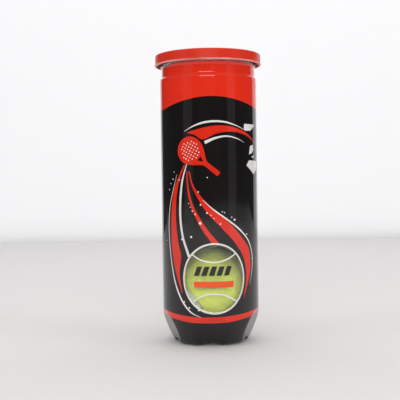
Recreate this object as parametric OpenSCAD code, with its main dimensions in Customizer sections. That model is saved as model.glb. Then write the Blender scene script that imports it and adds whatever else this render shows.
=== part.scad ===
// Pressurised can for three padel balls.
// A clear blown body with five feet, a printed shrink sleeve, a seamed end with a ring pull,
// a snap-on overcap, and three felt-covered balls. Millimetres, +Z up, feet on z = 0, front towards -Y.

/* [Balls] */
// Outside diameter of a ball
ball_d = 64.6; // [56:0.2:78]
// Felt and its cement on the rubber core
felt_t = 3; // [2:0.1:4]
// Wall of the rubber core
core_wall = 3.6; // [2.8:0.1:4.6]
// Width of the cement seam between the two felt panels
seam_w = 2.2; // [1.4:0.1:3.4]
// How far the seam lies below the felt
seam_depth = 0.8; // [0.4:0.1:1.5]
// Gap between stacked pieces
stack_gap = 0.3; // [0.2:0.05:1]

/* [Clear body] */
// Gap between a ball and the body's wall
ball_play = 3.8; // [2.5:0.1:6]
// Wall of the blown body
wall = 0.7; // [0.5:0.05:1.1]
// How much slimmer the neck is than the body, on the radius
neck_step = 1.2; // [0.6:0.1:2.4]
// How much slimmer the collar under the seam is than the body, on the radius
collar_step = 0.2; // [0:0.1:0.6]
// Height from the shoulder's foot to the top of the seam
neck_h = 17.4; // [14:0.2:24]
// Height of the curve from the body into the neck
shoulder_h = 2.2; // [1.6:0.1:4]
// Height of the flare from the neck out to the collar
flare_h = 2.6; // [1.6:0.1:3]
// Free height between the top ball and the end
head_room = 12; // [8:0.5:30]
// Thickness of the flange held in the seam
flange_t = 1.2; // [0.8:0.1:1.4]

/* [Base] */
// Height at which the side starts to curve in
base_h = 27.6; // [22:0.2:36]
// Radius of the side's curve down to the feet
side_round = 47; // [40:1:60]
// Radius of a foot's outer toe
toe_round = 6; // [4:0.5:7.5]
// Inner radius of the foot pads
pad_in = 19; // [15:0.5:21]
// Height of the domed centre above the ground
dome_h = 5.6; // [4:0.2:8]
// Radius of the channel between two feet
valley_r = 8.5; // [7:0.5:10]
// Height at which the channels run out on the side
valley_top = 24; // [18:0.5:30]
// Height at which the flats beside the channels start
flat_top = 25.5; // [20:0.5:32]
// Lean of the flats from upright
flat_lean = 22; // [16:1:26]

/* [Sleeve] */
// Thickness of the shrink film
film_t = 0.2; // [0.15:0.05:0.5]
// Height of the film's lower edge above the ground
hem_h = 3.4; // [2.4:0.2:8]
// Distance from the film's upper edge down from the top of the seam
film_drop = 8; // [7.4:0.2:10]

/* [Metal end] */
// Sheet thickness of the end
sheet_t = 0.3; // [0.22:0.02:0.4]
// Height of the seam
seam_h = 3; // [2.6:0.1:3.4]
// How far the seam stands out from the collar
seam_out = 1.9; // [1.7:0.1:2.4]
// Gap between a ball and the mouth of the opened end
mouth_play = 0.9; // [0.5:0.1:1.4]
// Depth of the tear panel below the top of the seam
panel_drop = 4.7; // [4.4:0.1:6]
// Depth of the groove round the panel
groove_h = 1.3; // [0.9:0.1:1.6]
// Gap left by the score line
score_gap = 0.08; // [0.05:0.01:0.12]
// Gap that seamed layers keep to each other
seam_gap = 0.04; // [0.02:0.01:0.08]

/* [Ring pull] */
// Thickness of the pull's curled metal
pull_t = 1.3; // [0.9:0.1:1.6]
// Height of the pull above the panel
pull_gap = 0.8; // [0.6:0.1:1]
// Outside diameter of the finger ring
pull_d = 22; // [20:0.5:24]
// Width of the finger ring's rim
pull_rim = 3; // [2:0.2:4]
// Distance from the pull's hinge line to the finger ring's centre
pull_reach = 15; // [13:0.5:17]
// Radius of the rivet's shank
rivet_r = 1.9; // [1.5:0.1:2.2]
// Gap between the rivet and its hole
rivet_gap = 0.08; // [0.05:0.01:0.1]

/* [Overcap] */
// Wall of the overcap's skirt
cap_wall = 1.4; // [1:0.1:2]
// Thickness of the overcap's top
cap_top_t = 1.6; // [1.2:0.1:2.2]
// Depth of the overcap below the top of the seam
cap_skirt = 6.4; // [5.4:0.2:7.4]
// Gap between the overcap's skirt and the seam
cap_gap = 0.6; // [0.4:0.1:1]
// Height of the bead inside the skirt
cap_bead = 0.3; // [0.1:0.05:0.35]
// How far the lip round the overcap's edge stands out
cap_lip = 0.4; // [0.2:0.1:1]
// Width of the raised rim on top
cap_rim = 5; // [3:0.5:8]
// Depth of the panel inside the raised rim
cap_recess = 0.7; // [0.3:0.1:1]

/* [Hidden] */
$fn = 96;
FEET = 5;
BALLS = ["bottom", "middle", "top"];
BALL_PARTS = ["core_a", "core_b", "felt_a", "felt_b", "seam"];
band_h = 1;
// Turned outlines start here, clear of the channels
seam_turn = 57;

// Colours
RED = [0.80, 0.16, 0.09];
BLACK = [0.12, 0.10, 0.10];
CLEAR = [0.86, 0.90, 0.90, 0.35];
ALUMINIUM = [0.78, 0.79, 0.80];
COMPOUND = [0.72, 0.66, 0.52];
RUBBER = [0.22, 0.21, 0.20];
FELT = [0.80, 0.87, 0.30];
CEMENT = [0.93, 0.93, 0.88];

// Radii
ball_r = ball_d / 2;
core_r = ball_r - felt_t;
body_r = ball_r + ball_play + wall;
neck_r = body_r - neck_step;
collar_r = body_r - collar_step;
seam_r = collar_r + seam_out;
flange_r = seam_r - sheet_t - seam_gap;
// The flange's lower edge is bevelled so that it fits into the round bend of the seam
bend_r = 0.5;
flange_bevel = bend_r / 2;
mouth_r = ball_r + mouth_play;
cap_in = seam_r + cap_gap;
cap_r = cap_in + cap_wall;

// Heights
seat_z = dome_h + wall + stack_gap;
function ball_z(i) = seat_z + ball_r + i * (ball_d + stack_gap);
panel_z = ball_z(len(BALLS) - 1) + ball_r + head_room;
can_h = panel_z + panel_drop;
shoulder_z = can_h - neck_h;
flange_z = can_h - seam_h + sheet_t + seam_gap;
film_top = can_h - film_drop;
flare_z = film_top - flare_h / 2;
cap_under = can_h + stack_gap;

// Foot: the side's arc and the toe's arc meet where the line through their centres crosses both
side_c = [body_r - side_round, base_h];
toe_x = side_c[0] + sqrt(pow(side_round - toe_round, 2) - pow(base_h - toe_round, 2));
toe_slope = (toe_round - base_h) / (side_round - toe_round);
dome_round = (pow(pad_in, 2) + pow(dome_h, 2)) / (2 * dome_h);
// Channel: its floor is an arc from just under the dome's centre to the side
valley_low = dome_h - 0.8;
valley_rise = valley_top - valley_low;
valley_arc = (pow(body_r, 2) + pow(valley_rise, 2)) / (2 * valley_rise);
valley_start = 3;
valley_end = asin(min(0.98, (body_r + 3) / valley_arc));

// Points along an arc in the plane
function arc(c, r, from, to, n) = [for (i = [0:n]) let (a = from + (to - from) * i / n) c + r * [cos(a), sin(a)]];
// Points along a smooth step between two points, upright at both ends
function ease(a, b, n) = [
    for (i = [0:n]) [a[0] + (b[0] - a[0]) * (1 - cos(180 * i / n)) / 2, a[1] + (b[1] - a[1]) * i / n]
];
function unit(v) = v / norm(v);
// Outline of a sheet of thickness t whose middle follows the points p
function sheet(p, t) =
    let (
        n = len(p) - 1,
        d = [for (i = [0:n]) unit(p[min(i + 1, n)] - p[max(i - 1, 0)])],
        side = [for (v = d) t / 2 * [-v[1], v[0]]]
    )
    concat([for (i = [0:n]) p[i] + side[i]], [for (i = [n:-1:0]) p[i] - side[i]]);

// ---- Clear body ----

// Half outline of the base, grown by e: foot pad, toe, curved side and a short band that the wall overlaps
module base_outline(e) {
    toe_z = toe_round + (toe_round + e) * toe_slope;
    difference() {
        translate([0, -e]) square([body_r + e, base_h + band_h + e]);
        difference() {
            translate([toe_x, -e - 1]) square([body_r, base_h + e + 1]);
            intersection() {
                translate([toe_x, toe_round]) circle(toe_round + e);
                translate([0, -e - 1]) square([body_r, toe_z + e + 1]);
            }
            intersection() {
                translate(side_c) circle(side_round + e);
                translate([0, toe_z]) square([2 * body_r, base_h]);
            }
        }
    }
}

// Side of the wall, neck and collar from the base up, moved out by e
function side_line(e, top) = concat(
    [[body_r + e, base_h]],
    ease([body_r + e, shoulder_z], [neck_r + e, shoulder_z + shoulder_h], 8),
    ease([neck_r + e, flare_z], [collar_r + e, flare_z + flare_h], 8),
    [[collar_r + e, top]]
);
function reversed(p) = [for (i = [len(p) - 1:-1:0]) p[i]];

// The tube that cuts channel k with radius r; its middle is an arc that all radii share
module valley(k, r) {
    rotate([0, 0, k * 360 / FEET - 90])
        translate([0, 0, valley_low + valley_arc])
            rotate([90, 0, 0]) rotate([0, 0, valley_start - 90])
                rotate_extrude(angle = valley_end - valley_start)
                    translate([valley_arc + valley_r, 0]) circle(r);
}

// What lies outside the leaning flat across channel k, moved out by e
module outside_flat(k, e) {
    rotate([0, 0, k * 360 / FEET - 90])
        translate([body_r + e / cos(flat_lean), 0, flat_top])
            rotate([0, flat_lean, 0])
                translate([0, -body_r, -2 * base_h])
                    cube([body_r, 2 * body_r, 2 * base_h + body_r]);
}

// The base grown by e, with the first n flats cut, and the channels too where r is above 0
module base_form(e, r, n = FEET) {
    if (n == 0)
        difference() {
            rotate([0, 0, seam_turn]) rotate_extrude() base_outline(e);
            if (r > 0) translate([0, 0, dome_h - dome_round]) sphere(dome_round - e);
        }
    else
        difference() {
            base_form(e, r, n - 1);
            outside_flat(n, e);
            if (r > 0) valley(n, r);
        }
}

module can_body() {
    color(CLEAR) {
        difference() {
            base_form(0, valley_r);
            base_form(-wall, valley_r + wall);
        }
        rotate([0, 0, seam_turn]) rotate_extrude() polygon(concat(
            side_line(0, flange_z),
            [
                [flange_r - flange_bevel, flange_z],
                [flange_r, flange_z + flange_bevel],
                [flange_r, flange_z + flange_t]
            ],
            reversed(side_line(-wall, flange_z + flange_t))
        ));
    }
}

// ---- Shrink sleeve: the film bridges the channels and stays open under the feet ----

module shrink_sleeve() {
    color(BLACK) {
        difference() {
            base_form(film_t, 0);
            base_form(0, 0);
            translate([0, 0, hem_h - base_h]) cube([4 * body_r, 4 * body_r, 2 * base_h], center = true);
        }
        wall_line = concat(side_line(film_t, can_h), reversed(side_line(0, can_h)));
        rotate([0, 0, seam_turn]) rotate_extrude() polygon([for (p = wall_line) [p[0], min(p[1], film_top)]]);
    }
}

// ---- Metal end: outer ring, sealing compound and tear panel ----

groove_r = 0.55;
sheet_z = can_h - panel_drop;
chuck_r = collar_r - wall - sheet_t / 2 - seam_gap;
top_bend_z = can_h - sheet_t / 2 - bend_r;
hook_bend_z = can_h - seam_h + sheet_t / 2 + bend_r;
seam_mid = seam_r - sheet_t / 2 - bend_r;

module end_ring() {
    wall_x = mouth_r + bend_r + 0.4;
    path = concat(
        [[mouth_r, sheet_z]],
        arc([wall_x - bend_r, sheet_z - bend_r], bend_r, 90, 0, 4),
        arc([wall_x + groove_r, sheet_z - groove_h], groove_r, 180, 360, 10),
        arc([chuck_r + bend_r, top_bend_z], bend_r, 180, 90, 6),
        arc([seam_mid, top_bend_z], bend_r, 90, 0, 6),
        arc([seam_mid, hook_bend_z], bend_r, 0, -90, 6),
        [[seam_mid - bend_r, hook_bend_z - bend_r]]
    );
    color(ALUMINIUM) rotate_extrude() polygon(sheet(path, sheet_t));
}

module sealing_compound() {
    low = flange_z + flange_t;
    inner = chuck_r + sheet_t / 2 + bend_r;
    color(COMPOUND) translate([0, 0, low]) difference() {
        cylinder(r = seam_mid, h = can_h - sheet_t - seam_gap - low);
        translate([0, 0, -1]) cylinder(r = inner, h = seam_h + 2);
    }
}

// Height of the pull's underside, and where its rivet and hinge line stand on the panel
pull_z = sheet_z + sheet_t / 2 + pull_gap;
// The rivet clamps the pull with this gap on each side of it
clamp_gap = 0.01;
rivet_y = -(mouth_r - 6);
hinge_y = rivet_y + rivet_r + 2.2;
head_t = 0.5;

module tear_panel() {
    bead_h = 0.4;
    edge = mouth_r - score_gap;
    // Raised beads at these radii stiffen the sheet
    bead_r = 1.2;
    bead = [
        for (r = [18, edge - 3]) for (p = arc([r, sheet_z], bead_r, 180, 0, 8))
            [p[0], sheet_z + (p[1] - sheet_z) * bead_h / bead_r]
    ];
    path = concat([[0, sheet_z]], bead, [[edge, sheet_z]]);
    color(ALUMINIUM) {
        rotate_extrude() polygon(sheet(path, sheet_t));
        translate([0, rivet_y, sheet_z]) {
            cylinder(r = rivet_r + 1.2, h = sheet_t / 2 + pull_gap - clamp_gap);
            cylinder(r = rivet_r, h = sheet_t / 2 + pull_gap + pull_t + head_t);
            translate([0, 0, sheet_t / 2 + pull_gap + pull_t + clamp_gap]) cylinder(r = rivet_r + 1, h = head_t);
        }
    }
}

// ---- Ring pull: a riveted foot with the nose, and a finger ring that bends up from it ----

module tab_base() {
    half = 6.5;
    nose_y = -mouth_r + 1.2;
    color(ALUMINIUM) translate([0, 0, pull_z]) difference() {
        union() {
            translate([0, nose_y + half, 0]) cylinder(r = half, h = pull_t);
            translate([-half, nose_y + half, 0]) cube([2 * half, half, pull_t]);
        }
        translate([-half - 1, hinge_y - pull_t / 2 - stack_gap, -1]) cube([2 * half + 2, 2 * half, pull_t + 2]);
        translate([0, rivet_y, -1]) cylinder(r = rivet_r + rivet_gap, h = pull_t + 2);
    }
}

module pull_ring() {
    heel = 5.5;
    ring_y = hinge_y + pull_reach;
    color(ALUMINIUM) {
        translate([-heel, hinge_y, pull_z + pull_t / 2]) rotate([0, 90, 0]) cylinder(r = pull_t / 2, h = 2 * heel);
        translate([0, 0, pull_z]) difference() {
            union() {
                translate([0, ring_y, 0]) cylinder(d = pull_d, h = pull_t);
                linear_extrude(pull_t)
                    polygon([[-heel, hinge_y], [heel, hinge_y], [heel + 2.5, ring_y], [-heel - 2.5, ring_y]]);
            }
            translate([0, ring_y, -1]) cylinder(d = pull_d - 2 * pull_rim, h = pull_t + 2);
        }
    }
}

// ---- Overcap ----

module snap_lid() {
    low = can_h - cap_skirt;
    top = cap_under + cap_top_t;
    round_r = 1.2;
    lip_r = 0.7;
    rim_x = cap_r - cap_rim;
    color(RED) rotate_extrude() polygon(concat(
        [[0, cap_under]],
        arc([cap_in - bend_r, cap_under - bend_r], bend_r, 90, 0, 4),
        arc([cap_in, low + 2.4], cap_bead, 90, 270, 8),
        [[cap_in, low + 0.3], [cap_in + 0.3, low]],
        arc([cap_r + cap_lip - lip_r, low + lip_r], lip_r, -90, 90, 8),
        [[cap_r, low + 2 * lip_r + 0.2]],
        arc([cap_r - round_r, top - round_r], round_r, 0, 90, 8),
        [[rim_x, top], [rim_x - cap_recess, top - cap_recess], [0, top - cap_recess]]
    ));
}

// ---- Balls ----

// How each ball happens to lie in the can
BALL_TURN = [[-62, 18, 40], [25, -40, 75], [64, 22, -40]];

module placed(i) {
    translate([0, 0, ball_z(i)]) rotate(BALL_TURN[i]) children();
}

// Half of the hollow rubber core: side is 1 above the parting plane and -1 below it
module core_half(side) {
    color(RUBBER) difference() {
        sphere(core_r);
        sphere(core_r - core_wall);
        translate([0, 0, -side * ball_r]) cube(2 * ball_r, center = true);
    }
}

// The closed curve of a ball's seam on the unit sphere, from two turning circles of radii 1 - k and k
seam_k = 0.2;
seam_rise = 2 * sqrt(seam_k * (1 - seam_k));
function seam_at(t) = [
    (1 - seam_k) * cos(t) + seam_k * cos(3 * t),
    (1 - seam_k) * sin(t) - seam_k * sin(3 * t),
    seam_rise * sin(2 * t)
];
// The same curve moved towards the upper panel by half the seam's width
seam_steps = 72;
seam_half = seam_w / 2 / ball_r;
function panel_edge(t) =
    let (p = seam_at(t), along = unit(seam_at(t + 1) - seam_at(t - 1)))
    unit(p + seam_half * cross(p, along));

// Everything seen from the ball's centre through one felt panel: a closed cone over the panel's edge
module panel_cone() {
    n = seam_steps;
    rings = 6;
    reach = 2 * ball_r;
    top = [0, 0, reach];
    edge = [for (j = [0:n - 1]) panel_edge((j + 0.5) * 360 / n)];
    // Along a great circle from the edge towards the pole
    function along(q, s) =
        let (a = acos(q[2]), w = unit([q[0], q[1]]), b = a * (1 - s))
        reach * [w[0] * sin(b), w[1] * sin(b), cos(b)];
    points = concat(
        [[0, 0, 0], top],
        [for (i = [0:rings - 1]) for (q = edge) along(q, i / rings)]
    );
    function at(i, j) = 2 + i * n + (j % n);
    faces = concat(
        [for (j = [0:n - 1]) [0, at(0, j + 1), at(0, j)]],
        [for (i = [0:rings - 2]) for (j = [0:n - 1]) each [
            [at(i, j), at(i, j + 1), at(i + 1, j + 1)],
            [at(i, j), at(i + 1, j + 1), at(i + 1, j)]
        ]],
        [for (j = [0:n - 1]) [at(rings - 1, j), at(rings - 1, j + 1), 1]]
    );
    polyhedron(points, [for (f = faces) [f[2], f[1], f[0]]]);
}

module felt_panel() {
    color(FELT) intersection() {
        difference() {
            sphere(ball_r);
            sphere(core_r);
        }
        panel_cone();
    }
}

module seam_cement() {
    color(CEMENT) difference() {
        sphere(ball_r - seam_depth);
        sphere(core_r);
        panel_cone();
        rotate([180, 0, 0]) panel_cone();
    }
}

can_body();
shrink_sleeve();
end_ring();
sealing_compound();
tear_panel();
tab_base();
pull_ring();
snap_lid();
for (i = [0:len(BALLS) - 1]) {
    placed(i) core_half(1);
    placed(i) core_half(-1);
    placed(i) felt_panel();
    placed(i) rotate([180, 0, 0]) felt_panel();
    placed(i) seam_cement();
}
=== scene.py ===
import math

import bpy
import numpy as np
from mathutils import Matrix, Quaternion, Vector


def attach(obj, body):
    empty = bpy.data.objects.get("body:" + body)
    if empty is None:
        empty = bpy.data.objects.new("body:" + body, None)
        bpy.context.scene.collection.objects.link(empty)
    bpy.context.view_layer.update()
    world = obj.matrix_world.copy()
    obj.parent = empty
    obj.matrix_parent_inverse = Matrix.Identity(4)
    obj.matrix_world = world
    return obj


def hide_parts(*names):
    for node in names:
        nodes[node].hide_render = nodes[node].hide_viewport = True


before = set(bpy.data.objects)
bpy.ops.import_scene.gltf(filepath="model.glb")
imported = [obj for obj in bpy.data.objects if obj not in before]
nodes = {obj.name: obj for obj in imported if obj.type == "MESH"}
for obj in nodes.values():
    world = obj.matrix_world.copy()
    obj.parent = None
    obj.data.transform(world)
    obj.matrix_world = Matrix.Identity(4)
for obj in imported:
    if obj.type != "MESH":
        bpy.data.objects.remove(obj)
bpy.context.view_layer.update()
MM = 0.001

# ---- Clear body ----
# The bottle of the can: PET, stretch-blown in one piece, with a petal base of five feet
# and a collar that holds the metal end. Only its collar, its base and the sleeve's window show it.


def new_group(name, inputs, outputs):
    """An empty shader group: each input is (name, kind, value), each output (name, kind)."""
    group = bpy.data.node_groups.new(name, "ShaderNodeTree")
    for label, kind, value in inputs:
        socket = group.interface.new_socket(label, in_out="INPUT", socket_type="NodeSocket" + kind)
        if value is not None:
            socket.default_value = value
    for label, kind in outputs:
        group.interface.new_socket(label, in_out="OUTPUT", socket_type="NodeSocket" + kind)
    return group, group.nodes.new("NodeGroupInput"), group.nodes.new("NodeGroupOutput")


def add(tree, kind, **settings):
    """A new shader node with its settings."""
    node = tree.nodes.new("ShaderNode" + kind)
    for key, value in settings.items():
        setattr(node, key, value)
    return node


def stretched(tree, vector, stretch):
    """The vector multiplied along each axis by another vector socket."""
    product = add(tree, "VectorMath", operation="MULTIPLY")
    tree.links.new(vector, product.inputs[0])
    tree.links.new(stretch, product.inputs[1])
    return product.outputs[0]


def ranged(tree, value, low, high, to_low, to_high):
    """The value taken from one range to another, held at both ends."""
    node = add(tree, "MapRange")
    tree.links.new(value, node.inputs["Value"])
    for label, number in (("From Min", low), ("From Max", high), ("To Min", to_low), ("To Max", to_high)):
        if hasattr(number, "is_output"):
            tree.links.new(number, node.inputs[label])
        else:
            node.inputs[label].default_value = number
    return node.outputs[0]


def make_mottle():
    """Soft cloudy change between two colours."""
    group, into, out = new_group(
        "mottle",
        [("Vector", "Vector", None), ("Scale", "Float", 100.0), ("Stretch", "Vector", (1, 1, 1)),
         ("Colour A", "Color", (0.5, 0.5, 0.5, 1)), ("Colour B", "Color", (0.4, 0.4, 0.4, 1))],
        [("Color", "Color")],
    )
    noise = add(group, "TexNoise")
    noise.inputs["Detail"].default_value = 4
    mix = add(group, "Mix", data_type="RGBA")
    group.links.new(stretched(group, into.outputs["Vector"], into.outputs["Stretch"]),
                    noise.inputs["Vector"])
    group.links.new(into.outputs["Scale"], noise.inputs["Scale"])
    mask = ranged(group, noise.outputs[0], 0.32, 0.68, 0, 1)
    group.links.new(mask, mix.inputs[0])
    group.links.new(into.outputs["Colour A"], mix.inputs[6])
    group.links.new(into.outputs["Colour B"], mix.inputs[7])
    group.links.new(mix.outputs[2], out.inputs["Color"])
    return group


def make_wear():
    """Roughness over the surface: a base value, raised in thin rubbed lines and in small dull specks."""
    group, into, out = new_group(
        "wear",
        [("Vector", "Vector", None), ("Scale", "Float", 100.0), ("Stretch", "Vector", (1, 1, 1)),
         ("Smooth", "Float", 0.2), ("Rubbed", "Float", 0.4)],
        [("Roughness", "Float")],
    )
    lines = add(group, "TexNoise")
    lines.inputs["Detail"].default_value = 2
    specks = add(group, "TexVoronoi", feature="F1")
    specks.inputs["Scale"].default_value = 260
    most = add(group, "Math", operation="MAXIMUM")
    group.links.new(stretched(group, into.outputs["Vector"], into.outputs["Stretch"]),
                    lines.inputs["Vector"])
    group.links.new(into.outputs["Scale"], lines.inputs["Scale"])
    group.links.new(into.outputs["Vector"], specks.inputs["Vector"])
    group.links.new(ranged(group, lines.outputs[0], 0.60, 0.72, 0, 0.8), most.inputs[0])
    group.links.new(ranged(group, specks.outputs["Distance"], 0.10, 0.04, 0, 0.5), most.inputs[1])
    rough = ranged(group, most.outputs[0], 0, 1, into.outputs["Smooth"], into.outputs["Rubbed"])
    group.links.new(rough, out.inputs["Roughness"])
    return group


def make_grain():
    """Height of a fine grain: coarse and fine noise added, each stretched the same way."""
    group, into, out = new_group(
        "grain",
        [("Vector", "Vector", None), ("Scale", "Float", 1000.0), ("Stretch", "Vector", (1, 1, 1))],
        [("Height", "Float")],
    )
    coarse = add(group, "TexNoise")
    fine = add(group, "TexNoise")
    coarse.inputs["Detail"].default_value = 3
    fine.inputs["Detail"].default_value = 2
    way = stretched(group, into.outputs["Vector"], into.outputs["Stretch"])
    triple = add(group, "Math", operation="MULTIPLY")
    triple.inputs[1].default_value = 3.2
    total = add(group, "Math", operation="ADD")
    for noise in (coarse, fine):
        group.links.new(way, noise.inputs["Vector"])
    group.links.new(into.outputs["Scale"], coarse.inputs["Scale"])
    group.links.new(into.outputs["Scale"], triple.inputs[0])
    group.links.new(triple.outputs[0], fine.inputs["Scale"])
    group.links.new(coarse.outputs[0], total.inputs[0])
    group.links.new(fine.outputs[0], total.inputs[1])
    group.links.new(total.outputs[0], out.inputs["Height"])
    return group


MOTTLE = make_mottle()
WEAR = make_wear()
GRAIN = make_grain()


def material(name, mottle, wear, grain, bump=(0.1, 0.0001), **shader):
    """A Principled material: cloudy colour, worn roughness and a fine grain in its normal.

    mottle is (scale, stretch, colour a, colour b), wear is (scale, stretch, smooth, rubbed),
    grain is (scale, stretch), bump is (strength, distance); the rest are plain shader values.
    """
    made = bpy.data.materials.new(name)
    made.use_nodes = True
    tree = made.node_tree
    bsdf = tree.nodes["Principled BSDF"]
    place = add(tree, "TexCoord").outputs["Object"]

    def use(group, values):
        """A shared group in this material, reading Object coordinates."""
        node = add(tree, "Group", node_tree=group)
        tree.links.new(place, node.inputs["Vector"])
        for label, value in values.items():
            node.inputs[label].default_value = value
        return node

    colours = {"Colour A": (*mottle[2], 1), "Colour B": (*mottle[3], 1)}
    cloud = use(MOTTLE, {"Scale": mottle[0], "Stretch": mottle[1], **colours})
    rubbed = use(WEAR, {"Scale": wear[0], "Stretch": wear[1], "Smooth": wear[2], "Rubbed": wear[3]})
    height = use(GRAIN, {"Scale": grain[0], "Stretch": grain[1]})
    relief = add(tree, "Bump")
    relief.inputs["Strength"].default_value = bump[0]
    relief.inputs["Distance"].default_value = bump[1]
    tree.links.new(cloud.outputs["Color"], bsdf.inputs["Base Color"])
    tree.links.new(rubbed.outputs["Roughness"], bsdf.inputs["Roughness"])
    tree.links.new(height.outputs["Height"], relief.inputs["Height"])
    tree.links.new(relief.outputs[0], bsdf.inputs["Normal"])
    for label, value in shader.items():
        bsdf.inputs[label.replace("_", " ")].default_value = value
    return made


def let_light_in(made):
    """Clear plastic lets the lamps' rays straight through, so what stands behind it is lit."""
    tree = made.node_tree
    bsdf = tree.nodes["Principled BSDF"]
    out = tree.nodes["Material Output"]
    mix = add(tree, "MixShader")
    tree.links.new(add(tree, "LightPath").outputs["Is Shadow Ray"], mix.inputs[0])
    tree.links.new(bsdf.outputs[0], mix.inputs[1])
    tree.links.new(add(tree, "BsdfTransparent").outputs[0], mix.inputs[2])
    tree.links.new(mix.outputs[0], out.inputs["Surface"])


def dress(name, made):
    """Gives a CAD node that stays its finished material."""
    node = nodes[name]
    if not node.material_slots:
        node.data.materials.append(made)
    for place in node.material_slots:
        place.material = made


EVEN = (1, 1, 1)
clear_pet = material(
    "clear PET", (30, EVEN, (0.97, 0.99, 0.985), (0.93, 0.96, 0.955)), (60, (1, 1, 0.2), 0.02, 0.10),
    (90, (1, 1, 0.3)), (0.05, 0.0002), Transmission_Weight=1.0, IOR=1.45,
)
let_light_in(clear_pet)
dress("can_body", clear_pet)

# ---- Balls ----
# Three padel balls: a hollow rubber core in two halves, two dog-bone panels of wool and nylon felt
# cemented over it, and a pale cement seam a little below the felt.

BALL_R = 32.3
CORE_R = 29.3
SEAM_K = 0.2
SEAM_HALF = 1.1 / BALL_R
SEAT_Z = 6.6
STACK = 64.9
# The felt's outside lies this far under the ball's radius, and its edge rolls down this wide and deep
FELT_TUCK = 0.12
ROLL_WIDTH = 2.2
ROLL_DEPTH = 1.3
# How each ball happens to lie in the can, in degrees about X, Y and Z
BALL_TURN = ((-62, 18, 40), (25, -40, 75), (64, 22, -40))


def unit(v):
    """Vectors along the last axis brought to length one."""
    return v / np.linalg.norm(v, axis=-1, keepdims=True)


def turned(points, degrees):
    """Points turned about X, then Y, then Z."""
    for axis, angle in enumerate(degrees):
        a = math.radians(angle)
        c, s = math.cos(a), math.sin(a)
        i, j = (axis + 1) % 3, (axis + 2) % 3
        p = points.copy()
        p[..., i] = c * points[..., i] - s * points[..., j]
        p[..., j] = s * points[..., i] + c * points[..., j]
        points = p
    return points


def grid_faces(rows, columns, ring=False):
    """Quads of a grid; the columns close into a ring if asked. Row then column turn right-handed outwards."""
    i, j = np.meshgrid(np.arange(rows - 1), np.arange(columns if ring else columns - 1), indexing="ij")
    k = (j + 1) % columns
    row, above = i * columns, (i + 1) * columns
    return np.stack([row + j, row + k, above + k, above + j], -1).reshape(-1, 4)


def piece(name, points, faces, made, body, slot, *stands_for):
    """A mesh object from points in millimetres and its faces, with its material and body, hiding the CAD
    nodes it stands for. The slot is not used.
    """
    mesh = bpy.data.meshes.new(name)
    places = (np.asarray(points).reshape(-1, 3) * MM).tolist()
    mesh.from_pydata(places, [], [list(map(int, f)) for f in faces])
    mesh.validate()
    mesh.shade_smooth()
    mesh.materials.append(made)
    obj = bpy.data.objects.new(name, mesh)
    bpy.context.scene.collection.objects.link(obj)
    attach(obj, body)
    if stands_for:
        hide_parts(*stands_for)
    return obj


def felt_panel(side, turn, z):
    """One felt panel: great circles from the seam's edge to the pole, at the core's radius on the underside
    and at the ball's radius on the outside, with the outer edge rolled down towards the seam."""
    t = np.radians(np.arange(0, 360, 1.5))
    k = SEAM_K
    rise = 2 * math.sqrt(k * (1 - k))

    def seam_at(a):
        """The ball's seam on the unit sphere: (1 - k) and k times circles turning at one and three times."""
        x = (1 - k) * np.cos(a) + k * np.cos(3 * a)
        y = (1 - k) * np.sin(a) - k * np.sin(3 * a)
        return np.stack([x, y, rise * np.sin(2 * a)], -1)

    line = seam_at(t)
    along = unit(seam_at(t + 0.02) - seam_at(t - 0.02))
    edge = unit(line + SEAM_HALF * np.cross(line, along))
    angle = np.arccos(edge[:, 2])
    level = unit(edge[:, :2])
    share = np.concatenate([[0, 0.004, 0.012, 0.025, 0.045, 0.07], np.linspace(0.1, 1, 46)])
    b = angle[None, :] * (1 - share[:, None])
    away = np.stack([level[None, :, 0] * np.sin(b), level[None, :, 1] * np.sin(b), np.cos(b)], -1)
    roll = 1 - np.clip((angle[None, :] - b) * BALL_R / ROLL_WIDTH, 0, 1)
    lumps = 0.10 * np.sin(9 * away[..., 0] + 4) * np.sin(11 * away[..., 1] + 1) * np.sin(10 * away[..., 2])
    outer = away * (BALL_R - FELT_TUCK - ROLL_DEPTH * roll**2.4 + lumps * (1 - roll))[..., None]
    inner = away[::-1] * CORE_R
    shell = np.concatenate([inner[1:], outer[:-1]])
    rows, columns = shell.shape[:2]
    points = np.concatenate([shell.reshape(-1, 3), [[0, 0, CORE_R]], [[0, 0, BALL_R - FELT_TUCK]]])
    j = np.arange(columns)
    n = (j + 1) % columns
    low = np.stack([np.full(columns, rows * columns), n, j], -1)
    last = (rows - 1) * columns
    high = np.stack([last + j, last + n, np.full(columns, rows * columns + 1)], -1)
    faces = [*grid_faces(rows, columns, ring=True).tolist(), *low.tolist(), *high.tolist()]
    if side < 0:
        points = points * [1, -1, -1]
    points = turned(points, turn) + [0, 0, z]
    return points, faces


felt = material(
    "ball felt", (420, EVEN, (0.82, 0.88, 0.16), (0.70, 0.76, 0.11)), (300, EVEN, 0.85, 0.97),
    (2600, EVEN), (0.9, 0.0004), Sheen_Weight=0.3, Sheen_Roughness=0.4, Sheen_Tint=(1.0, 0.98, 0.5, 1),
    Specular_IOR_Level=0.15,
)
cement = material(
    "seam cement", (300, EVEN, (0.80, 0.80, 0.70), (0.68, 0.68, 0.56)), (200, EVEN, 0.55, 0.75),
    (1500, EVEN), (0.3, 0.0002),
)
core_rubber = material(
    "core rubber", (140, EVEN, (0.035, 0.032, 0.030), (0.022, 0.021, 0.020)), (90, EVEN, 0.6, 0.85),
    (1200, EVEN), (0.25, 0.0002),
)
for count, ball in enumerate(("bottom", "middle", "top")):
    height = SEAT_Z + BALL_R + count * STACK
    for side, letter in ((1, "a"), (-1, "b")):
        points, faces = felt_panel(side, BALL_TURN[count], height)
        replaced = f"{ball}_felt_{letter}"
        piece(f"{ball}_felt_panel_{letter}", points, faces, felt, f"ball_{ball}", "ball_felt", replaced)
        dress(f"{ball}_core_{letter}", core_rubber)
    dress(f"{ball}_seam", cement)

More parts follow.
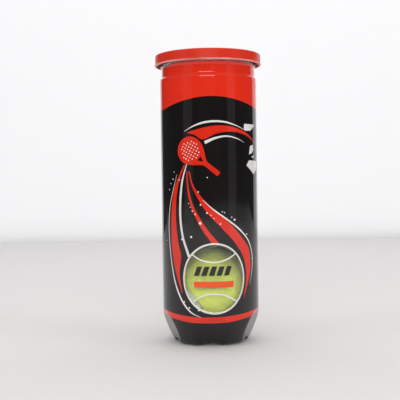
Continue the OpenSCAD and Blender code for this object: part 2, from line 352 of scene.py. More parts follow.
# ---- Metal end and its sealing compound ----
# The outer ring of an aluminium end, double-seamed over the body's flange on a bed of compound.
# Its sheet keeps the faint straight grain of the rolling mill.

end_metal = material(
    "end aluminium", (120, (1, 8, 1), (0.78, 0.79, 0.80), (0.70, 0.71, 0.72)),
    (160, (1, 14, 1), 0.24, 0.42),
    (700, (1, 16, 1)), (0.12, 0.0001), Metallic=1.0,
)
compound = material(
    "sealing compound", (200, EVEN, (0.50, 0.42, 0.27), (0.42, 0.35, 0.22)), (200, EVEN, 0.5, 0.7),
    (1500, EVEN), (0.2, 0.0001),
)
dress("end_ring", end_metal)
dress("sealing_compound", compound)

# ---- Tear panel and ring pull ----
# The panel is scored free of the ring and stiffened by raised beads; the pull is riveted to it
# and bends up at its neck to a finger ring.

pull_metal = material(
    "pull aluminium", (200, (1, 6, 1), (0.86, 0.87, 0.88), (0.78, 0.79, 0.80)),
    (220, (1, 10, 1), 0.18, 0.34),
    (900, (1, 14, 1)), (0.10, 0.0001), Metallic=1.0,
)
dress("tear_panel", end_metal)
dress("tab_base", pull_metal)
dress("pull_ring", pull_metal)

# ---- Shrink sleeve ----
# A printed heat-shrink film from the collar down onto the feet: red at the top, black down the
# body, with a red stripe near the base and a clear round window on the front. It bridges the
# channels between the feet.

FILM_T = 0.2
FILM_LIFT = 0.06
BODY_R = 36.8
NECK_STEP = 1.2
COLLAR_STEP = 0.2
SHOULDER_Z = 200.3
SHOULDER_H = 2.2
FLARE_Z = 208.4
FLARE_H = 2.6
HEM_LOW = 0.35
HEM_RISE = 3.1
TOE = (24.65, 6.0)
TOE_TANGENT_Z = 2.84
BASE_H = 27.6
SIDE_ROUND = 47.0
FLAT_TOP = 25.5
FLAT_LEAN = math.radians(22)
FILM_R = BODY_R + FILM_T
AROUND = 2 * math.pi * FILM_R
FEET = 5
ARCH_Z = 176.3
STRIPE_LOW_Z = 18.0
STRIPE_HIGH_Z = 22.7
FILM_TOP_Z = 211.0
WINDOW = (3.0, 51.2)
WINDOW_HALF = (24.4, 26.2)
WINDOW_CELLS = 28.0
WINDOW_CELLS_TOP = 80.0
RING_W = 1.2


def film_radius(a, z, lift):
    """Radius of the film at an angle from the front and a height: an upright wall, a smooth step in at
    the shoulder and out at the flare, and below an arc into a small toe, cut by a leaning flat across
    each channel."""
    e = FILM_T + lift
    drop = np.clip(BASE_H - z, 0, None)
    side = BODY_R - SIDE_ROUND + np.sqrt((SIDE_ROUND + e) ** 2 - drop**2)
    toe = TOE[0] + np.sqrt(np.clip((TOE[1] + e) ** 2 - (TOE[1] - z) ** 2, 0, None))
    side = np.where(z < TOE_TANGENT_Z, toe, side)
    into_neck = np.clip((z - SHOULDER_Z) / SHOULDER_H, 0, 1)
    out_again = np.clip((z - FLARE_Z) / FLARE_H, 0, 1)
    side = side - NECK_STEP * (1 - np.cos(math.pi * into_neck)) / 2
    side = side + (NECK_STEP - COLLAR_STEP) * (1 - np.cos(math.pi * out_again)) / 2
    fifth = 2 * math.pi / FEET
    off = a - fifth * np.round(a / fifth)
    flat = (BODY_R + e / math.cos(FLAT_LEAN) - (FLAT_TOP - z) * math.tan(FLAT_LEAN)) / np.cos(off)
    return np.minimum(side, flat)


def on_film(s, z, lift=0.0):
    """Points on the film from millimetres round it, to the right of the front, and a height."""
    s, z = np.broadcast_arrays(np.asarray(s, float), np.asarray(z, float))
    a = s / FILM_R
    r = film_radius(a, z, lift)
    return np.stack([r * np.sin(a), -r * np.cos(a), z], -1)


def arch(s):
    """Height of the red band's lower edge, an arch that is highest near the front and at the back."""
    return ARCH_Z + 8.6 * np.cos(s / FILM_R - 0.06) ** 2


def stripe_low(s):
    """Height of the stripe's lower edge, which sags at the front and at the back."""
    return STRIPE_LOW_Z + 4.4 * np.sin(s / FILM_R + 0.04) ** 2


def stripe_high(s):
    """Height of the stripe's upper edge."""
    return STRIPE_HIGH_Z + 3.4 * np.sin(s / FILM_R + 0.04) ** 2


def hem(s):
    """Height of the film's lower edge: low on the feet, arched up where it bridges a channel."""
    fifth = AROUND / FEET
    off = np.abs(s - fifth * np.round(s / fifth)) / (fifth * 0.35)
    return HEM_LOW + HEM_RISE * np.cos(np.clip(off, 0, 1) * math.pi / 2) ** 2


def film_top(s):
    """Height of the film's upper edge, which has shrunk a little lower at two places round the collar."""
    return FILM_TOP_Z - 2.4 * np.exp(-(((s + 48) / 17) ** 2)) - 1.1 * np.exp(-(((s - 45) / 12) ** 2))


def film_mesh():
    """The whole film as rows of heights round the can. Each row's height may change with the angle, so that
    the rows follow the printed edges. The cells round the window give way to a patch whose spokes run from
    the window's oval out to the cells' edge. Returns points, faces, their colours and the window's points."""
    columns = 360
    s = (np.arange(columns) - columns // 2) * AROUND / columns
    one = np.ones(columns)

    def between(low, high, count):
        """Rows from one line of heights up to, but without, another."""
        return low + (high - low) * (np.arange(count) / count)[:, None]

    rows = [
        between(hem(s), stripe_low(s), 16),
        between(stripe_low(s), stripe_high(s), 3),
        between(stripe_high(s), WINDOW_CELLS_TOP * one, 26),
        between(WINDOW_CELLS_TOP * one, arch(s), 26),
        between(arch(s), SHOULDER_Z * one, 8),
        between(SHOULDER_Z * one, (SHOULDER_Z + SHOULDER_H) * one, 10),
        between((SHOULDER_Z + SHOULDER_H) * one, FLARE_Z * one, 4),
        between(FLARE_Z * one, film_top(s), 5),
        film_top(s)[None, :],
    ]
    starts = np.cumsum([0] + [len(r) for r in rows])
    z = np.concatenate(rows)
    levels = len(z)
    # 0 black, 1 red
    tint = np.zeros(levels - 1, int)
    tint[starts[1]:starts[2]] = 1
    tint[starts[4]:] = 1
    spread = np.broadcast_to(s, z.shape)
    faces = grid_faces(levels, columns, ring=True)
    colours = np.repeat(tint, columns)
    left, right = np.searchsorted(s, (WINDOW[0] - WINDOW_CELLS, WINDOW[0] + WINDOW_CELLS))
    low, high = starts[2] + 1, starts[3]
    row = np.repeat(np.arange(levels - 1), columns)
    column = np.tile(np.arange(columns), levels - 1)
    keep = ~((row >= low) & (row < high) & (column >= left) & (column < right))
    faces, colours = faces[keep], colours[keep]
    border = np.concatenate([
        low * columns + np.arange(left, right),
        np.arange(low, high) * columns + right,
        high * columns + np.arange(right, left, -1),
        np.arange(high, low, -1) * columns + left,
    ])
    bs, bz = spread.reshape(-1)[border], z.reshape(-1)[border]
    angle = np.arctan2((bz - WINDOW[1]) / WINDOW_HALF[1], (bs - WINDOW[0]) / WINDOW_HALF[0])
    inner_s = WINDOW[0] + (WINDOW_HALF[0] - RING_W / 2) * np.cos(angle)
    inner_z = WINDOW[1] + (WINDOW_HALF[1] - RING_W / 2) * np.sin(angle)
    steps = 8
    share = (np.arange(steps) / steps)[:, None]
    patch_s = inner_s + (bs - inner_s) * share
    patch_z = inner_z + (bz - inner_z) * share
    base = z.size
    across = len(border)
    ids = np.concatenate([base + np.arange(steps * across).reshape(steps, across), border[None, :]])
    i, j = np.meshgrid(np.arange(steps), np.arange(across), indexing="ij")
    n = (j + 1) % across
    patch = np.stack([ids[i, j], ids[i + 1, j], ids[i + 1, n], ids[i, n]], -1).reshape(-1, 4)
    all_s = np.concatenate([spread.reshape(-1), patch_s.reshape(-1)])
    all_z = np.concatenate([z.reshape(-1), patch_z.reshape(-1)])
    used = np.unique(np.concatenate([faces.reshape(-1), patch.reshape(-1)]))
    renumber = np.zeros(len(all_s), int)
    renumber[used] = np.arange(len(used))
    faces = renumber[np.concatenate([faces, patch])]
    colours = np.concatenate([colours, np.zeros(len(patch), int)])
    return all_s[used], all_z[used], faces, colours, (inner_s, inner_z)


def ripple(s, z):
    """The faint unevenness of shrunk film, in millimetres inwards: long upright waves that come and go."""
    a = s / FILM_R
    broad = np.sin(11 * a + 0.03 * z) * np.sin(0.045 * z + 2 * a)
    narrow = 0.6 * np.sin(23 * a + 1 - 0.02 * z) * np.sin(0.08 * z)
    return -0.012 * (1 + (broad + narrow) / 1.6)


def printed(name, a, b, smooth=0.07):
    """Ink behind clear film: cloudy colour under a glossy surface with light rubbing and upright ripples."""
    return material(
        name, (45, (1, 1, 0.25), a, b), (150, (1, 1, 0.3), smooth, 0.20), (55, (1, 1, 0.12)),
        (0.10, 0.0006),
        Coat_Weight=0.25, Coat_Roughness=0.04, IOR=1.45,
    )


film_black = printed("black print", (0.0052, 0.0042, 0.0042), (0.0080, 0.0066, 0.0064))
film_red = printed("red print", (0.72, 0.026, 0.009), (0.66, 0.022, 0.008))
# The film's cut edges are painted pale grey: a painted highlight along the hem and the top edge.
edge_highlight = printed("film edge highlight", (0.62, 0.60, 0.56), (0.55, 0.53, 0.49))
film_s, film_z, film_faces, film_colours, window_edge = film_mesh()
film_points = on_film(film_s, film_z, ripple(film_s, film_z))
film = piece("sleeve_film", film_points, film_faces, film_black, "can", "printed_film", "shrink_sleeve")
film.data.materials.append(film_red)
film.data.materials.append(edge_highlight)
film.data.polygons.foreach_set("material_index", film_colours)
film.data.update()
wall = film.modifiers.new("film thickness", "SOLIDIFY")
wall.thickness = (FILM_T - FILM_LIFT) * MM
wall.offset = -1
# The rim faces of the film take the pale painted highlight.
wall.material_offset_rim = 2

clear_film = material(
    "clear film", (60, EVEN, (0.96, 0.97, 0.94), (0.92, 0.93, 0.90)), (90, EVEN, 0.03, 0.10), (80, EVEN),
    (0.04, 0.0002),
    Transmission_Weight=1.0, IOR=1.3,
)
let_light_in(clear_film)


def oval_patch(edge_s, edge_z, steps, lift):
    """A patch of film inside a closed edge: spokes from its middle out, closed by a fan at the middle."""
    share = (np.arange(steps, 0, -1) / steps)[:, None]
    s = WINDOW[0] + (edge_s - WINDOW[0]) * share
    z = WINDOW[1] + (edge_z - WINDOW[1]) * share
    across = len(edge_s)
    points = np.concatenate([on_film(s, z, lift).reshape(-1, 3), on_film([WINDOW[0]], [WINDOW[1]], lift)])
    last = (steps - 1) * across
    j = np.arange(across)
    fan = np.stack([last + j, last + (j + 1) % across, np.full(across, steps * across)], -1)
    return points, [*grid_faces(steps, across, ring=True).tolist(), *fan.tolist()]


points, faces = oval_patch(*window_edge, 16, -0.02)
window = piece("sleeve_window", points, faces, clear_film, "can", "clear_body")
pane = window.modifiers.new("film thickness", "SOLIDIFY")
pane.thickness = 0.12 * MM
pane.offset = -1

# ---- Printed artwork ----
# Bands, lines, shards, specks and a bat in red and white ink. Each is a thin patch that follows the
# film a few hundredths of a millimetre outside it. Places are millimetres round the can and up it.

INK_LIFT = 0.03
ink_white = printed("white ink", (0.74, 0.72, 0.70), (0.66, 0.64, 0.62))
ink_red = printed("red ink", (0.70, 0.026, 0.010), (0.62, 0.020, 0.008))
ink_black = printed("black ink", (0.010, 0.009, 0.009), (0.014, 0.012, 0.012))
ink_orange = printed("orange ink", (0.80, 0.085, 0.012), (0.72, 0.070, 0.010))
ink_grey = printed("speckled white ink", (0.74, 0.73, 0.71), (0.58, 0.57, 0.55))


def smooth_line(points, count):
    """A smooth curve through given points: cubic pieces with slopes taken from the neighbours."""
    p = np.asarray(points, float)
    t = np.concatenate([[0], np.cumsum(np.linalg.norm(np.diff(p, axis=0), axis=1))])
    slope = np.gradient(p, t, axis=0)
    u = np.linspace(0, t[-1], count)
    i = np.clip(np.searchsorted(t, u, side="right") - 1, 0, len(t) - 2)
    h = (t[i + 1] - t[i])[:, None]
    x = (u[:, None] - t[i][:, None]) / h
    return ((2 * x**3 - 3 * x**2 + 1) * p[i] + (x**3 - 2 * x**2 + x) * h * slope[i]
            + (3 * x**2 - 2 * x**3) * p[i + 1] + (x**3 - x**2) * h * slope[i + 1])


def filled(edge_a, edge_b, columns):
    """Grid of film places between two lines, with straight steps across, turned to face outwards."""
    share = np.linspace(0, 1, columns)[None, :, None]
    grid = edge_a[:, None] * (1 - share) + edge_b[:, None] * share
    across = (edge_b - edge_a).mean(axis=0)
    faces = grid_faces(len(edge_a), columns)
    middle = len(edge_a) // 2
    along = edge_a[middle] - edge_a[middle - 1]
    if across[0] * along[1] - across[1] * along[0] < 0:
        faces = faces[:, ::-1]
    return grid.reshape(-1, 2), faces


def stroke(points, widths, count=48):
    """A line of ink: its two edges lie half its width to each side, and the width changes evenly along it."""
    line = smooth_line(points, count)
    way = unit(np.gradient(line, axis=0))
    half = np.interp(np.linspace(0, 1, count), np.linspace(0, 1, len(widths)), widths)[:, None] / 2
    side = np.stack([-way[:, 1], way[:, 0]], -1)
    return filled(line + side * half, line - side * half, 3)


def band(edge_a, edge_b, count=56, columns=8):
    """A band of ink between two given edges."""
    return filled(smooth_line(edge_a, count), smooth_line(edge_b, count), columns)


def shape(outline, steps=9, parts=8):
    """A convex patch from its corners, its sides cut in parts, filled by spokes from its middle."""
    p = np.asarray(outline, float)
    p = p[::-1] if (p[:, 0] * np.roll(p[:, 1], -1) - p[:, 1] * np.roll(p[:, 0], -1)).sum() < 0 else p
    share = (np.arange(parts) / parts)[None, :, None]
    fine = (p[:, None] * (1 - share) + np.roll(p, -1, axis=0)[:, None] * share).reshape(-1, 2)
    middle = p.mean(axis=0)
    share = (np.arange(steps, 0, -1) / steps)[:, None, None]
    grid = middle + (fine - middle) * share
    n = len(fine)
    last = (steps - 1) * n
    j = np.arange(n)
    fan = np.stack([last + j, last + (j + 1) % n, np.full(n, steps * n)], -1)
    faces = [*grid_faces(steps, n, ring=True).tolist(), *fan.tolist()]
    return np.concatenate([grid.reshape(-1, 2), middle[None, :]]), faces


def dots(places, radius, corners=8):
    """Small flat dots, each a polygon of a few corners."""
    p = np.asarray(places, float)
    r = np.broadcast_to(np.asarray(radius, float), len(p))
    a = np.linspace(0, 2 * math.pi, corners, endpoint=False)
    points = p[:, None] + r[:, None, None] * np.stack([np.cos(a), np.sin(a)], -1)[None]
    return points.reshape(-1, 2), np.arange(len(p) * corners).reshape(len(p), corners)


def ink(name, patches, made, lift=INK_LIFT, turn=0.0):
    """One printed piece from flat patches laid on the film, turned round the can by some millimetres."""
    places, faces, start = [], [], 0
    for flat, quads in patches:
        places.append(flat)
        faces.extend((np.asarray(q) + start).tolist() for q in quads)
        start += len(flat)
    flat = np.concatenate(places)
    s = flat[:, 0] + turn
    return piece(name, on_film(s, flat[:, 1], lift), faces, made, "can", "printed_film")


# The window's oval, whose ring and two curved lines make it a ball
turn_angle = np.linspace(0, 2 * math.pi, 181)[:-1]


def oval(inset):
    """Points of the window's oval, moved in by a distance."""
    return np.stack([WINDOW[0] + (WINDOW_HALF[0] - inset) * np.cos(turn_angle),
                     WINDOW[1] + (WINDOW_HALF[1] - inset) * np.sin(turn_angle)], -1)


ring_lines = np.stack([oval(RING_W), oval(RING_W / 2), oval(0)])
ring_faces = grid_faces(3, len(turn_angle), ring=True)[:, ::-1]

# Plain speed bars and a plain bar on the window's clear film
LEAN = 2.4
BAR_W = 3.9
BAR_Z = (53.4, 60.2)
bar_left = np.array([-12.5, -6.9, -1.3, 4.3, 9.9])
bars = [
    band([(x, BAR_Z[0]), (x + LEAN, BAR_Z[1])], [(x + BAR_W, BAR_Z[0]), (x + BAR_W + LEAN, BAR_Z[1])], 6, 6)
    for x in bar_left
]
ink("window_speed_bars", bars, ink_black)
plain_bar = band([(-12.5, 44.6), (-12.5, 49.2)], [(17.5, 44.6), (17.5, 49.2)], 6, 26)
ink("window_plain_bar", [plain_bar], ink_orange)

# The bat: half widths along its axis, from the head's top to the handle's end
BAT_TOP = np.array([-22.4, 151.9])
BAT_END = np.array([7.2, 127.6])
bat_way = (BAT_END - BAT_TOP) / np.linalg.norm(BAT_END - BAT_TOP)
bat_side = np.array([-bat_way[1], bat_way[0]])
bat_steps = np.array([0, 0.3, 1, 2.5, 5, 8, 11, 14, 17, 20, 22.5, 24.5, 26])
bat_half = np.array([0, 2.4, 4.5, 6.9, 8.9, 10.0, 10.2, 9.6, 8.0, 5.9, 3.8, 2.4, 1.8])
bat_line = smooth_line(np.stack([bat_steps, bat_half], -1), 90)
bat_line = np.concatenate([bat_line, [[30, 1.7], [34, 1.8], [37.4, 1.9], [38.2, 1.5]]])
bat_middle = BAT_TOP + bat_line[:, :1] * bat_way
bat_edge = np.clip(bat_line[:, 1:], 0.01, None) * bat_side
THROAT_AT = 21.3
HOLES_AT = 10.6
HOLE_PITCH = 2.2
HOLE_R = 0.5
HOLES_R = 7.2
# The rows of holes are turned a little against the bat's own axis
HOLE_TURN = np.array([[0.93, 0.37], [-0.37, 0.93]])


def art(turn, tag):
    """The bat, the sweeps above and below it, and the ring whose two curved lines make it a ball."""
    ink(f"ball_ring_{tag}", [(ring_lines.reshape(-1, 2), ring_faces)], ink_white, 2 * INK_LIFT, turn)
    ink(f"ball_lines_{tag}", [
        stroke([(-14.5, 69.6), (-7.5, 65.2), (2.5, 63.2), (12.5, 65.2), (20, 69.6)], [1.0]),
        stroke([(-14.5, 33.8), (-7, 38.2), (2.5, 40.0), (12, 38.2), (20, 33.8)], [1.0]),
    ], ink_white, INK_LIFT, turn)
    bat = filled(bat_middle + bat_edge, bat_middle - bat_edge, 12)
    ink(f"bat_{tag}", [bat], ink_red, 2 * INK_LIFT, turn)
    throat = BAT_TOP + bat_way * THROAT_AT
    throat_top = throat - bat_way * 1.8
    corners = [throat_top + bat_side * 1.9, throat_top - bat_side * 1.9, throat + bat_way * 2.2]
    ink(f"bat_throat_{tag}", [shape(corners)], film_black, 3 * INK_LIFT, turn)
    holes = np.stack(np.meshgrid(np.arange(-5, 6), np.arange(-5, 6)), -1).reshape(-1, 2) * HOLE_PITCH
    holes = np.stack([holes @ bat_way, holes @ bat_side], -1) @ HOLE_TURN
    holes = holes[np.linalg.norm(holes, axis=1) < HOLES_R] + BAT_TOP + bat_way * HOLES_AT
    ink(f"bat_holes_{tag}", [dots(holes, HOLE_R)], ink_white, 3 * INK_LIFT, turn)
    ink(f"upper_white_{tag}", [
        stroke([(-19, 159.4), (-12, 163), (-4, 165.6), (5, 166.5), (13, 165.8), (20.5, 163.8),
                (29.5, 160.5)],
               [0.2, 0.9, 1.5, 1.5, 1.2, 0.7, 0.3]),
        stroke([(-3, 151.0), (4.2, 154), (13.8, 155.6), (21.6, 154.1), (29, 151.2)],
               [2.4, 1.6, 1.1, 0.7, 0.1]),
    ], ink_white, INK_LIFT, turn)
    ink(f"upper_red_{tag}", [
        band([(-16.5, 158.7), (-8, 161), (4.5, 163.3), (14.5, 163.1), (26, 160.4), (35, 156.8),
              (45.3, 150.3)],
             [(-16.2, 158.4), (-11, 157), (-5.3, 153.5), (6, 157.6), (18, 158.9), (31.5, 156.3),
              (45, 150)]),
    ], ink_red, INK_LIFT, turn)
    ink(f"shards_{tag}", [
        shape([(29.6, 165), (45, 165), (37, 160.1), (30, 160), (28.9, 162)]),
        shape([(36.4, 148.8), (40.8, 149.8), (42, 146), (39, 143.3), (34.9, 142.4)]),
        shape([(38.3, 140.8), (42.5, 141.9), (42.3, 140.6), (40, 139.8)]),
        shape([(34.8, 138), (48.6, 137.7), (48.4, 131.7), (41.5, 127.6), (31.4, 134.2)]),
    ], ink_grey, INK_LIFT, turn)
    ink(f"lower_red_{tag}", [
        band([(-19.6, 134.8), (-24, 127), (-28.5, 119), (-32.2, 103), (-33, 89), (-32.6, 75.5),
              (-30.2, 61.5),
              (-26.6, 50), (-22.4, 39.5)],
             [(-18.2, 134.8), (-21, 129.5), (-24.6, 120.5), (-27.2, 106.5), (-27.4, 93), (-26, 79.5),
              (-23.1, 67.5),
              (-24.6, 55), (-22.2, 39.5)]),
        band([(-17.3, 129.5), (-17.2, 120.5), (-14.8, 106.5), (-9, 93), (-4.2, 84.9), (1.6, 76.9)],
             [(-16.6, 130.5), (-15.9, 120.5), (-12.8, 106.5), (-6.8, 95), (-0.8, 86), (6.9, 76.9)]),
        band([(-15.8, 130.5), (-13.3, 120), (-8.6, 110), (-2.6, 100.5), (9.5, 87.5), (20.6, 75.4),
              (27.4, 64.7),
              (29.6, 54), (26.6, 35.5)],
             [(-14.7, 130), (-12.2, 120.5), (-6.5, 112), (0.2, 104.5), (13.2, 93.4), (25, 81.4), (33.4, 71),
              (34.9, 60.5), (26.9, 35.4)]),
    ], ink_red, INK_LIFT, turn)
    ink(f"lower_white_{tag}", [
        stroke([(-26, 128), (-30, 117), (-33.7, 106.5), (-35.9, 92.6), (-35.5, 78.8), (-33, 61.5),
                (-28, 44.5),
                (-20.8, 32), (-14.2, 25.6), (-7.6, 22.9)],
                [0.2, 0.5, 0.7, 0.8, 0.8, 0.9, 1.2, 1.4, 1.3, 0.3]),
        stroke([(-17, 135.4), (-20.8, 124.2), (-22.6, 113), (-23.3, 103), (-22.9, 92), (-21.4, 82.7),
                (-16.2, 67.4)],
               [0.6, 1.4, 1.9, 1.9, 1.8, 1.7, 2.0]),
        stroke([(-5, 109), (2.2, 102.4), (14, 93.8), (25, 85.5), (33, 77.4), (37.2, 68), (37, 57),
                (33.4, 44.5)],
               [0.2, 1.0, 1.2, 1.2, 1.1, 1.0, 0.7, 0.1]),
    ], ink_white, 2 * INK_LIFT, turn)
    specks = [(-34.6, 117, 0.7), (-8.2, 115, 0.7), (-16, 106.5, 0.5), (-14.5, 104, 0.5), (-13, 101, 0.7),
              (-10.8, 98.5, 0.7),
              (-7.2, 92, 1.4), (-14.2, 82, 1.1), (-6.7, 105.5, 0.8), (-2, 99.5, 0.9), (0.8, 97.8, 0.6),
              (3.1, 95.5, 0.5),
              (7.8, 91.3, 0.7), (9.3, 100.2, 0.6), (11, 99.6, 0.6), (16.7, 96, 0.7), (19, 94.2, 1.1),
              (30.6, 83, 0.8),
              (-39.2, 78.6, 0.6), (-22, 80, 0.9), (37.2, 64.6, 0.9), (-20.7, 33.8, 0.9),
              (-16.4, 29.6, 0.9), (-9, 28.2, 1.0),
              (-28.7, 130, 0.6), (-30.2, 124.6, 0.7), (-32.7, 121.4, 0.6), (-23.7, 124, 0.7),
              (-1.5, 125.4, 0.6)]
    specks = np.array(specks)
    ink(f"specks_{tag}", [dots(specks[:, :2], specks[:, 2] * 0.8, 7)], ink_white, 3 * INK_LIFT, turn)


art(0.0, "front")
art(AROUND / 2, "back")

# ---- Overcap ----
# A push-fit cap, injection-moulded in polyethylene: a skirt with a rounded lip and a bead inside,
# and a top with a shallow sunk panel. Its surface is a little softer in gloss than the film.

CAN_H = 217.7
CAP_SKIRT = 6.4
CAP_GAP = 0.3
CAP_SHEET = 1.6
CAP_LOW = CAN_H - CAP_SKIRT
CAP_UNDER = CAN_H + CAP_GAP
CAP_TOP = CAP_UNDER + CAP_SHEET
CAP_IN = 39.1
CAP_R = 40.5


def arc(centre, radius, start, end, count):
    """Points along an arc from one angle to another, in degrees."""
    a = np.radians(np.linspace(start, end, count))
    return np.stack([centre[0] + radius * np.cos(a), centre[1] + radius * np.sin(a)], -1)


def revolved(profile, columns):
    """A closed solid of revolution: the profile runs from the axis round the outside and back to the axis."""
    p = np.asarray(profile, float)
    a = np.linspace(0, 2 * math.pi, columns, endpoint=False)
    inner = p[1:-1]
    height = np.broadcast_to(inner[:, 1:], (len(inner), columns))
    ring = np.stack([inner[:, :1] * np.cos(a), inner[:, :1] * np.sin(a), height], -1)
    rows = len(inner)
    points = np.concatenate([ring.reshape(-1, 3), [[0, 0, p[0, 1]]], [[0, 0, p[-1, 1]]]])
    j = np.arange(columns)
    n = (j + 1) % columns
    first = np.stack([np.full(columns, rows * columns), n, j], -1)
    end = (rows - 1) * columns
    last = np.stack([end + j, end + n, np.full(columns, rows * columns + 1)], -1)
    return points, [*grid_faces(rows, columns, ring=True).tolist(), *first.tolist(), *last.tolist()]


panel_top = CAP_TOP - 0.7
cap_profile = np.concatenate([
    [[0, CAP_UNDER], [12, CAP_UNDER], [24, CAP_UNDER], [34, CAP_UNDER]],
    arc((CAP_IN - 0.5, CAP_UNDER - 0.5), 0.5, 90, 0, 7),
    [[CAP_IN, CAP_UNDER - 2.4]],
    arc((CAP_IN, CAP_LOW + 2.4), 0.3, 90, 270, 11),
    [[CAP_IN, CAP_LOW + 0.35]],
    arc((CAP_IN + 0.35, CAP_LOW + 0.35), 0.35, 180, 270, 5),
    arc((CAP_R - 0.3, CAP_LOW + 0.7), 0.7, -90, 60, 12),
    arc((CAP_R + 0.45, CAP_LOW + 1.75), 0.45, 235, 180, 5),
    [[CAP_R, CAP_LOW + 3.4], [CAP_R, CAP_LOW + 5.2]],
    arc((CAP_R - 1.2, CAP_TOP - 1.2), 1.2, 0, 90, 12),
    [[CAP_R - 3.2, CAP_TOP]],
    arc((CAP_R - 4.6, CAP_TOP - 0.4), 0.4, 90, 135, 4),
    arc((CAP_R - 5.6, panel_top + 0.4), 0.4, -45, -90, 4),
    [[34, panel_top], [30.2, panel_top]],
    arc((30, panel_top), 0.16, 0, 180, 5),
    [[29.8, panel_top], [20, panel_top], [10, panel_top], [1.9, panel_top], [1.6, panel_top - 0.2],
     [1.0, panel_top - 0.2],
     [0.8, panel_top + 0.1], [0, panel_top + 0.12]],
])
cap_red = material(
    "cap plastic", (50, EVEN, (0.60, 0.028, 0.010), (0.585, 0.0265, 0.0095)),
    (120, (1, 1, 0.6), 0.31, 0.37), (1400, EVEN),
    (0.06, 0.0001), IOR=1.5, Subsurface_Weight=0.06, Subsurface_Radius=(0.004, 0.001, 0.0006),
    Specular_IOR_Level=0.35,
)
# The lip's lower rounded edge is painted pale pink: a painted highlight standing in for the bright table
# mirrored in it.
lip_highlight = material(
    "lip highlight", (45, EVEN, (0.60, 0.045, 0.022), (0.78, 0.36, 0.30)), (120, EVEN, 0.3, 0.5),
    (1400, EVEN), (0.06, 0.0001),
    IOR=1.5,
)
points, faces = revolved(cap_profile, 192)
cap = piece("overcap", points, faces, cap_red, "lid", "cap_plastic", "snap_lid")
cap.data.materials.append(lip_highlight)
centres = np.array([points[f].mean(axis=0) for f in faces])
# Faces low on the lip's outside take the pale painted highlight.
on_lip = (centres[:, 2] < CAP_LOW + 0.95) & (np.hypot(centres[:, 0], centres[:, 1]) > CAP_R - 0.4)
cap.data.polygons.foreach_set("material_index", on_lip.astype(int))
cap.data.update()

# ---- Table, backdrop, camera and light ----
# A pale table whose back edge meets a white wall. Large lamps that gloss doesn't mirror give most
# of the light; two softboxes and a strip leave soft bands on the glossy film. The world is brighter
# above, and brightest where the camera sees it.


def plain(name, colour, rough, glow=0.0):
    """A plain matt finish for the table or the wall."""
    made = bpy.data.materials.new(name)
    made.use_nodes = True
    bsdf = made.node_tree.nodes["Principled BSDF"]
    bsdf.inputs["Base Color"].default_value = (*colour, 1)
    bsdf.inputs["Roughness"].default_value = rough
    bsdf.inputs["Emission Color"].default_value = (1, 1, 1, 1)
    bsdf.inputs["Emission Strength"].default_value = glow
    return made


def sheet(name, corners, made):
    """A flat sheet of the stage from its corners in metres."""
    mesh = bpy.data.meshes.new(name)
    mesh.from_pydata(corners, [], [list(range(len(corners)))])
    mesh.materials.append(made)
    obj = bpy.data.objects.new(name, mesh)
    bpy.context.scene.collection.objects.link(obj)
    return obj


TABLE_END = 1.15
pale_table = plain("pale table", (0.61, 0.592, 0.585), 0.75)
sheet("table", [(-4, -4, 0), (4, -4, 0), (4, TABLE_END, 0), (-4, TABLE_END, 0)], pale_table)
white_wall = plain("white wall", (0.70, 0.70, 0.715), 0.9, 0.27)
WALL_Y = TABLE_END + 0.03
far_wall = sheet("wall", [(-6, WALL_Y, -2), (6, WALL_Y, -2), (6, WALL_Y, 4), (-6, WALL_Y, 4)], white_wall)
far_wall.visible_glossy = False
PANEL_Y = TABLE_END + 0.02
panel_corners = [(-0.8, PANEL_Y, -1), (1.4, PANEL_Y, -1), (1.4, PANEL_Y, 1.6), (-0.8, PANEL_Y, 1.6)]
sheet("wall_panel", panel_corners, white_wall)

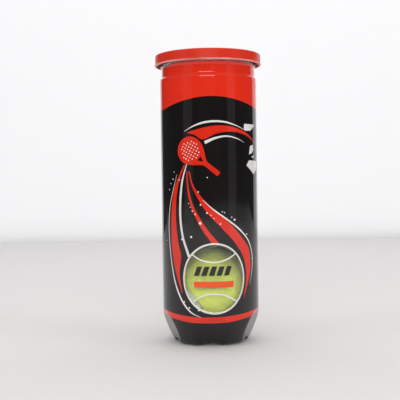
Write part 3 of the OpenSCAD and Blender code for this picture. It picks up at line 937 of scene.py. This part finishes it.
scene = bpy.context.scene
scene.view_settings.view_transform = "Standard"
world = bpy.data.worlds.new("dim room")
world.use_nodes = True
sky = world.node_tree.nodes["Background"]
sky.inputs[0].default_value = (0.97, 0.98, 1.0, 1)
ray = add(world.node_tree, "LightPath")
height = add(world.node_tree, "SeparateXYZ")
world.node_tree.links.new(add(world.node_tree, "TexCoord").outputs["Generated"], height.inputs[0])
ceiling = add(world.node_tree, "MapRange")
ceiling.inputs["From Min"].default_value = 0.35
ceiling.inputs["From Max"].default_value = 0.75
ceiling.inputs["To Min"].default_value = 0.06
ceiling.inputs["To Max"].default_value = 0.7
world.node_tree.links.new(height.outputs["Z"], ceiling.inputs["Value"])
room_light = add(world.node_tree, "MapRange")
room_light.inputs["To Max"].default_value = 0.85
world.node_tree.links.new(ray.outputs["Is Camera Ray"], room_light.inputs["Value"])
world.node_tree.links.new(ceiling.outputs[0], room_light.inputs["To Min"])
world.node_tree.links.new(room_light.outputs[0], sky.inputs[1])
scene.world = world


def soft_light(name, place, aim, width, height, power, mirrored=True):
    """An area light of a size in metres, turned towards a point, which gloss may or may not mirror."""
    lamp = bpy.data.lights.new(name, "AREA")
    lamp.shape = "RECTANGLE"
    lamp.size = width
    lamp.size_y = height
    lamp.energy = power
    obj = bpy.data.objects.new(name, lamp)
    obj.location = place
    obj.rotation_mode = "QUATERNION"
    obj.rotation_quaternion = (Vector(aim) - Vector(place)).to_track_quat("-Z", "Y")
    obj.visible_glossy = mirrored
    scene.collection.objects.link(obj)


MIDDLE = (0, 0, 0.11)
soft_light("overhead", (0.0, -0.3, 1.6), MIDDLE, 2.0, 1.6, 10, False)
soft_light("front", (0.0, -2.0, 0.9), MIDDLE, 1.6, 1.2, 19, False)
soft_light("left fill", (-1.6, -0.7, 0.6), MIDDLE, 0.8, 1.0, 5, False)
soft_light("right fill", (1.6, -0.7, 0.6), MIDDLE, 0.8, 1.0, 7.5, False)
soft_light("backdrop light", (0.0, 0.75, 1.7), (0, 0.75, 0), 2.4, 0.6, 8, False)
soft_light("left softbox", (-1.3, -1.1, 0.5), MIDDLE, 0.7, 1.4, 0.7)
soft_light("right softbox", (1.3, -0.9, 0.5), MIDDLE, 0.6, 1.4, 0.6)
soft_light("front strip", (-0.06, -1.6, 0.56), MIDDLE, 1.05, 0.05, 1.1)

EYE = Vector((0.0, -0.645, 0.1208))
AIM = Vector((-0.0074, 0.0, 0.1084))
lens = bpy.data.cameras.new("camera")
lens.lens = 74.9
camera = bpy.data.objects.new("camera", lens)
camera.location = EYE
camera.rotation_mode = "QUATERNION"
camera.rotation_quaternion = (AIM - EYE).to_track_quat("-Z", "Y") @ Quaternion((0, 0, 1),
                                                                               math.radians(-0.8))
scene.collection.objects.link(camera)
scene.camera = camera
